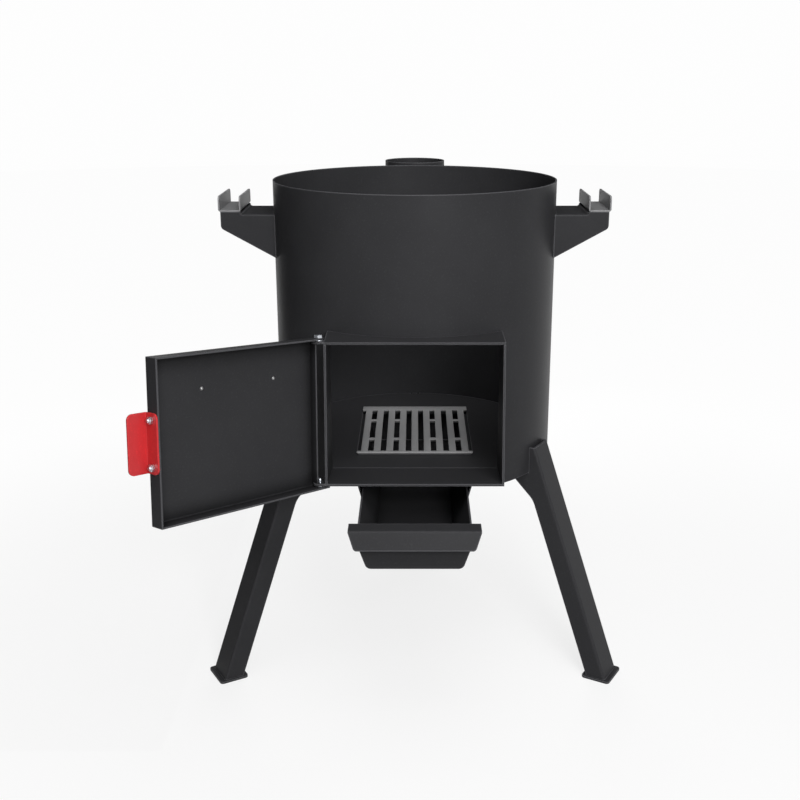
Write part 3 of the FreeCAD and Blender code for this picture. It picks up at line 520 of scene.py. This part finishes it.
def settle(piece, name, place, body, node):
    """Puts a finished piece where it belongs, with its place in its mesh."""
    bpy.ops.object.select_all(action="DESELECT")
    piece.select_set(True)
    bpy.context.view_layer.objects.active = piece
    piece.name = name
    piece.matrix_world = place
    bpy.ops.object.transform_apply(location=True, rotation=True, scale=True)
    bpy.ops.object.shade_smooth_by_angle(angle=SMOOTH_BELOW)
    piece.data.materials.clear()
    piece.data.materials.append(finishes[slot_of[node]])
    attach(piece, body)
    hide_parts(node)
    print(name, len(piece.data.polygons), "faces")


def spot(x, y, z):
    """A place given in millimetres."""
    return Matrix.Translation(Vector((x, y, z)) * MM)


def turned(axis, turn):
    """A turn about an axis, in radians."""
    return Matrix.Rotation(turn, 4, axis)


print("pieces are smooth below", round(math.degrees(SMOOTH_BELOW)), "degrees")

# %% [markdown]
# The hinge's axis leans back with the portal's face, and the door hangs open on it. Three frames follow
# from that: one at the upper lug, one upside down at the lower lug, and one that has swung round with the
# door. Everything on the hinge and the door is modelled upright at the origin and then put into one of
# them. The joint's axis points down, so its lower limit, where the door is shut, is also the turn from
# shut to open as seen from above.

# %% Frames of the hinge and the door
door_hinge = next(joint for joint in frame["joints"] if joint["name"] == "door_hinge")
hinge_at = Vector(door_hinge["pos_m"])
hinge_up = -Vector(door_hinge["axis"])
hinge_lean = math.atan2(-hinge_up.y, hinge_up.z)
door_turn = math.radians(door_hinge["range_deg"][0])
washers_low, washers_high = [Vector(corner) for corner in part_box("hinge_washers")]
LUG_SPAN = 2 * ((washers_low + washers_high) / 2 - hinge_at).length / MM

hinge = Matrix.Translation(hinge_at) @ turned("X", hinge_lean)
lower_hinge = hinge @ spot(0, 0, -LUG_SPAN) @ turned("X", math.pi)
door = hinge @ turned("Z", door_turn)
print(f"hinge leans {math.degrees(hinge_lean):.2f} degrees, and its washers are {LUG_SPAN:.3f} mm apart")

# %% [markdown]
# A bolt head starts as a six-sided block. On a lathe its corners are turned off at thirty degrees, which
# leaves the arcs on its flats. Bevelling would cut the corners straight, so the block is instead
# intersected with a flat cone, just as the lathe does it. A nut is turned on both ends and then drilled.
# The cone reaches a little past the block's end, because a cut through two faces in one plane can leave a
# hole.

# %% Hexagons
TURNED_SIDES = 72
DRILLED_SIDES = 48
CROWN_SHARE = 0.475
SPARE_SHARE = 0.2
OUT_PER_DROP = math.sqrt(3)
MERGE_BELOW = 0.01


def cut(piece, operation, tool):
    """Cuts a piece with a tool, removes the tool and merges corners that fell together."""
    apply_modifier(piece, "BOOLEAN", operation=operation, object=tool, solver="EXACT")
    bpy.data.objects.remove(tool)
    edit_all()
    bpy.ops.mesh.remove_doubles(threshold=MERGE_BELOW * MM)
    bpy.ops.object.mode_set(mode="OBJECT")


def turned_hexagon(across, height, both_ends=False):
    """A bolt head or a nut, given by its width across flats and its height."""
    block = begin(
        bpy.ops.mesh.primitive_cylinder_add,
        vertices=6, radius=across / math.sqrt(3) * MM, depth=height * MM, location=(0, 0, height / 2 * MM),
    )
    bpy.ops.object.transform_apply(location=True)
    crown = CROWN_SHARE * across
    spare = SPARE_SHARE * height
    for middle, turn in ((spare / 2, 0), (height - spare / 2, math.pi))[:1 + both_ends]:
        cone = begin(
            bpy.ops.mesh.primitive_cone_add,
            vertices=TURNED_SIDES, depth=(2 * height + spare) * MM,
            location=(0, 0, middle * MM), rotation=(turn, 0, 0),
            radius1=(crown + OUT_PER_DROP * 2 * height) * MM, radius2=(crown - OUT_PER_DROP * spare) * MM,
        )
        cut(block, "INTERSECT", cone)
    return block


def drill(piece, radius, depth):
    """Drills a hole along Z, right through."""
    bit = begin(
        bpy.ops.mesh.primitive_cylinder_add,
        vertices=DRILLED_SIDES, radius=radius * MM, depth=3 * depth * MM,
    )
    cut(piece, "DIFFERENCE", bit)


print("heads are turned to", CROWN_SHARE * 2, "of their width across flats")

# %% [markdown]
# A thread could be a true helix from a Screw modifier. At this size the eye can't tell it from a row of
# rings, and rings close cleanly at both ends, so the rod is a circle that is extruded down ring by ring.
# Its last rings make either a chamfer or a dome.

# %% Threaded rods
ROD_SIDES = 32
THREAD_DEPTH = 0.6
CREST, FLANK = 0.3, 0.2
DOME_STEPS, DOME_STEP = 6, 15
DOME_NECK = 0.1
CHAMFER_NECK, CHAMFER_SIZE = 0.6, 0.75


def rings_down(steps):
    """Extrudes the selected ring by (drop, new size) steps."""
    for drop, size in steps:
        extrude(-drop)
        bpy.ops.transform.resize(value=(size, size, 1))


def threaded_rod(radius, top, length, pitch, end):
    """A rod from its top down to a chamfered or domed end."""
    rod = begin(
        bpy.ops.mesh.primitive_circle_add,
        vertices=ROD_SIDES, radius=radius * MM, fill_type="NGON", location=(0, 0, top * MM),
    )
    bpy.ops.object.transform_apply(location=True)
    edit_all()
    turns = int((length - radius) / pitch)
    root = 1 - THREAD_DEPTH * pitch / radius
    crest, flank = CREST * pitch, FLANK * pitch
    rings_down([(crest, 1), (flank, root), (crest, 1), (flank, 1 / root)] * turns)
    rest = length - turns * pitch
    if end == "dome":
        lean = [math.radians(DOME_STEP * step) for step in range(DOME_STEPS)]
        rise = (1 - DOME_NECK) * rest
        rings_down([(DOME_NECK * rest, 1)])
        rings_down([
            (rise * (math.sin(b) - math.sin(a)), math.cos(b) / math.cos(a)) for a, b in zip(lean, lean[1:])
        ])
    else:
        rings_down([(CHAMFER_NECK * rest, 1), ((1 - CHAMFER_NECK) * rest, CHAMFER_SIZE)])
    face_outwards()
    return rod


print("threads are", THREAD_DEPTH, "of their pitch deep")

# %% [markdown]
# The door hangs on two pieces of M6 hardware. A bolt with a head goes down through the upper lug, and a
# short stud with a domed end stands up through the lower one. The shank starts a little inside the head,
# so that no gap shows.

# %% Hinge bolt and stud
M6_RADIUS, M6_PITCH, M6_ACROSS = 3, 1.0, 10
SHANK_SUNK = 0.5
HINGE_HEAD, HINGE_SHANK = 4, 8.4
HINGE_HEAD_AT = 3.9
STUD_TOP, STUD_LENGTH = 3.8, 13.3

head = turned_hexagon(M6_ACROSS, HINGE_HEAD)
bolt = join(head, threaded_rod(M6_RADIUS, SHANK_SUNK, HINGE_SHANK, M6_PITCH, "chamfer"))
settle(bolt, "hinge_bolt_threaded", hinge @ spot(0, 0, HINGE_HEAD_AT), "stove", "hinge_bolt")
stud = threaded_rod(M6_RADIUS, STUD_TOP, STUD_LENGTH, M6_PITCH, "dome")
settle(stud, "hinge_stud_threaded", lower_hinge, "stove", "hinge_stud")

# %% [markdown]
# A washer is punched from sheet, so one of its edges is rounded and the whole ring is slightly soft. It
# is a circle that is extruded inwards to a flat ring and then up to its thickness, and a bevel breaks its
# edges.

# %% Washers
WASHER_SIDES = 64
WASHER_RADIUS, WASHER_HOLE, WASHER_THICKNESS = 6.5, 3.2, 1.6
WASHER_EDGE = 0.35


def washer(radius, hole, thickness):
    """A flat ring from its two radii and its thickness."""
    ring = begin(
        bpy.ops.mesh.primitive_circle_add, vertices=WASHER_SIDES, radius=radius * MM, fill_type="NOTHING",
    )
    edit_all()
    extrude(0)
    bpy.ops.transform.resize(value=(hole / radius, hole / radius, 1))
    bpy.ops.mesh.select_all(action="SELECT")
    extrude(thickness)
    face_outwards()
    soften(ring, WASHER_EDGE, segments=3)
    return ring


ring = washer(WASHER_RADIUS, WASHER_HOLE, WASHER_THICKNESS)
second_ring = copy_of(ring)
settle(ring, "hinge_washer_upper", hinge, "stove", "hinge_washers")
settle(second_ring, "hinge_washer_lower", lower_hinge, "stove", "hinge_washers")

# %% [markdown]
# The handle is held by two small bolts from inside the door's lip. Their nuts are outside, on the red
# flange, and a little thread stands out of each. One bolt and one nut are made, and each is copied to the
# other place.

# %% Handle bolts and nuts
M5_RADIUS, M5_PITCH, M5_ACROSS = 2.5, 0.8, 8
HANDLE_HEAD, HANDLE_SHANK = 3.5, 10.5
NUT_HEIGHT, NUT_BORE = 4, 2.55
HANDLE_MIDDLE = -LUG_SPAN / 2
HANDLE_BOLT_SPACING = 54.5
LIP_MIDDLE = 0.4
LIP_INSIDE, FLANGE_OUTSIDE = 252, 256

head = turned_hexagon(M5_ACROSS, HANDLE_HEAD)
bolt = join(head, threaded_rod(M5_RADIUS, SHANK_SUNK, HANDLE_SHANK, M5_PITCH, "chamfer"))
nut = turned_hexagon(M5_ACROSS, NUT_HEIGHT, both_ends=True)
drill(nut, NUT_BORE, NUT_HEIGHT)
for name, level, one_bolt, one_nut in (
    ("upper", HANDLE_MIDDLE + HANDLE_BOLT_SPACING / 2, copy_of(bolt), copy_of(nut)),
    ("lower", HANDLE_MIDDLE - HANDLE_BOLT_SPACING / 2, bolt, nut),
):
    inside = door @ spot(LIP_INSIDE, LIP_MIDDLE, level) @ turned("Y", -math.pi / 2)
    outside = door @ spot(FLANGE_OUTSIDE, LIP_MIDDLE, level) @ turned("Y", math.pi / 2)
    settle(one_bolt, f"handle_bolt_{name}", inside, "door", "handle_bolts")
    settle(one_nut, f"handle_nut_{name}", outside, "door", "handle_nuts")

# %% [markdown]
# Two blind rivets hold the blank plate on the door's outer side, and their tails show on the inner side.
# A tail is a bulb and a head is a flat dome. Both are half a sphere, cut by a bisect and flattened, on a
# short pin.

# %% Rivets
RIVET_SIDES = 32
PIN_RADIUS, PIN_LENGTH, PIN_MIDDLE = 1.6, 3.2, 1.5
TAIL_RADIUS, TAIL_HEIGHT = 2.4, 2
HEAD_RADIUS, HEAD_HEIGHT, HEAD_AT = 3.2, 1.2, 3
RIVET_NEAR, RIVET_FAR = 68.1, 178.1
RIVET_DEPTH, RIVET_LEVEL = -9.5, -41.2


def dome(radius, height, turn, at):
    """Half a sphere, flattened to a height, that faces along +Z or, turned, along -Z."""
    cap = begin(
        bpy.ops.mesh.primitive_uv_sphere_add,
        segments=RIVET_SIDES, ring_count=RIVET_SIDES // 2, radius=radius * MM,
    )
    edit_all()
    bpy.ops.mesh.bisect(plane_co=(0, 0, 0), plane_no=(0, 0, 1), clear_inner=True, use_fill=True)
    bpy.ops.object.mode_set(mode="OBJECT")
    cap.scale = (1, 1, height / radius)
    cap.rotation_euler = (turn, 0, 0)
    cap.location = (0, 0, at * MM)
    bpy.ops.object.transform_apply(location=True, rotation=True, scale=True)
    return cap


def rivet():
    """A pin with a bulb at its lower end and a flat head at its upper one."""
    pin = begin(
        bpy.ops.mesh.primitive_cylinder_add,
        vertices=RIVET_SIDES, radius=PIN_RADIUS * MM, depth=PIN_LENGTH * MM,
        location=(0, 0, PIN_MIDDLE * MM),
    )
    bpy.ops.object.transform_apply(location=True)
    tail = dome(TAIL_RADIUS, TAIL_HEIGHT, math.pi, 0)
    return join(tail, dome(HEAD_RADIUS, HEAD_HEIGHT, 0, HEAD_AT), pin)


one = rivet()
other = copy_of(one)
for name, along, piece in (("near", RIVET_NEAR, one), ("far", RIVET_FAR, other)):
    place = door @ spot(along, RIVET_DEPTH, RIVET_LEVEL) @ turned("X", math.pi / 2)
    settle(piece, f"badge_rivet_{name}", place, "door", "badge_rivets")

# %% [markdown]
# The grate is a flat casting of nine bars with eight slots between them. Two bridges cross four of the
# slots. A rail joins the bars at the front and at the back, and stands out a little on both sides. The
# outline comes from the frame, and the slots are counted out in millimetres. Two tests then say, for the
# middle of any face, whether it lies in a slot or under a bar.

# %% Plan of the grate
grate_low, grate_high = [Vector(corner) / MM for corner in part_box("grate")]
floor_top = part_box("firebox_floor")[1][2] / MM
RAIL_THICKNESS = grate_high.z - floor_top
BAR_DEPTH = floor_top - grate_low.z
BARS_HALF = 77.0
BARS_FRONT, BARS_BACK = -100, 93
SLOTS_FRONT, SLOTS_BACK = -102.0, 88.0
SLOT_COUNT, SLOT_WIDTH, SLOT_PITCH, SLOT_FIRST = 8, 8, 18, -67
SLOT_STARTS = [SLOT_PITCH * slot + SLOT_FIRST for slot in range(SLOT_COUNT)]
BRIDGES = ((-52.6, -44.6), (34.6, 42.6))
BRIDGED_SLOTS = (0, 2, 5, 7)
RAIL_FACE = 1.0
WALL_SLOPE = 2.4
CAST_EDGE = 0.4
NEARLY = 0.99


def in_slot(middle):
    """True where the casting is open."""
    x, y = middle.x / MM, middle.y / MM
    if not SLOTS_FRONT < y < SLOTS_BACK:
        return False
    if abs(x) > BARS_HALF:
        return True
    for slot, start in enumerate(SLOT_STARTS):
        if start < x < start + SLOT_WIDTH:
            bridged = slot in BRIDGED_SLOTS and any(low < y < high for low, high in BRIDGES)
            return not bridged
    return False


def under_bar(middle):
    """True for the lowest faces, where they belong to a bar and not to a bridge or a rail."""
    x, y = middle.x / MM, middle.y / MM
    lowest = middle.z < -NEARLY * RAIL_THICKNESS * MM
    between_bars = any(start - WALL_SLOPE < x < start + SLOT_WIDTH + WALL_SLOPE for start in SLOT_STARTS)
    return lowest and abs(x) < BARS_HALF and BARS_FRONT < y < BARS_BACK and not between_bars


print(f"grate {RAIL_THICKNESS:.2f} mm thick on the floor, with bars {BAR_DEPTH:.2f} mm into its opening")

# %% [markdown]
# The grate is cast in sand, so its walls slope to let the pattern out, ash falls through without
# sticking, and no edge is sharp. It starts as a flat plate. Bisects mark where the bars, the bridges and
# the rails begin and end, the faces of the slots are deleted, and what is left is extruded a little and
# then inset as it goes down, which slopes every wall at once. The bars are extruded once more, because
# they hang into the floor's opening. A bevel softens the edges.

# %% Grate
grate = begin(
    bpy.ops.mesh.primitive_plane_add, size=1, location=(0, (grate_low.y + grate_high.y) / 2 * MM, 0),
)
grate.scale = (2 * grate_high.x * MM, (grate_high.y - grate_low.y) * MM, 1)
bpy.ops.object.transform_apply(location=True, scale=True)
slot_sides = [side for start in SLOT_STARTS for side in (start, start + SLOT_WIDTH)]
bridge_sides = [side for bridge in BRIDGES for side in bridge]
cuts_across = [-BARS_HALF, BARS_HALF] + slot_sides
cuts_along = [SLOTS_FRONT, SLOTS_BACK, BARS_FRONT, BARS_BACK] + bridge_sides
bpy.ops.object.mode_set(mode="EDIT")
for places, normal in ((cuts_across, Vector((1, 0, 0))), (cuts_along, Vector((0, 1, 0)))):
    for place in places:
        bpy.ops.mesh.select_all(action="SELECT")
        bpy.ops.mesh.bisect(plane_co=normal * place * MM, plane_no=normal)
bpy.ops.object.mode_set(mode="OBJECT")
select_faces(grate, in_slot)
bpy.ops.mesh.delete(type="FACE")
bpy.ops.mesh.select_all(action="SELECT")
extrude(-RAIL_FACE)
bpy.ops.mesh.inset(thickness=WALL_SLOPE * MM, depth=-(RAIL_THICKNESS - RAIL_FACE) * MM)
bpy.ops.object.mode_set(mode="OBJECT")
select_faces(grate, under_bar)
extrude(-BAR_DEPTH)
face_outwards()
soften(grate, CAST_EDGE, segments=2)
settle(grate, "grate_cast", spot(0, 0, grate_high.z), "grate", "grate")

# %% [markdown]
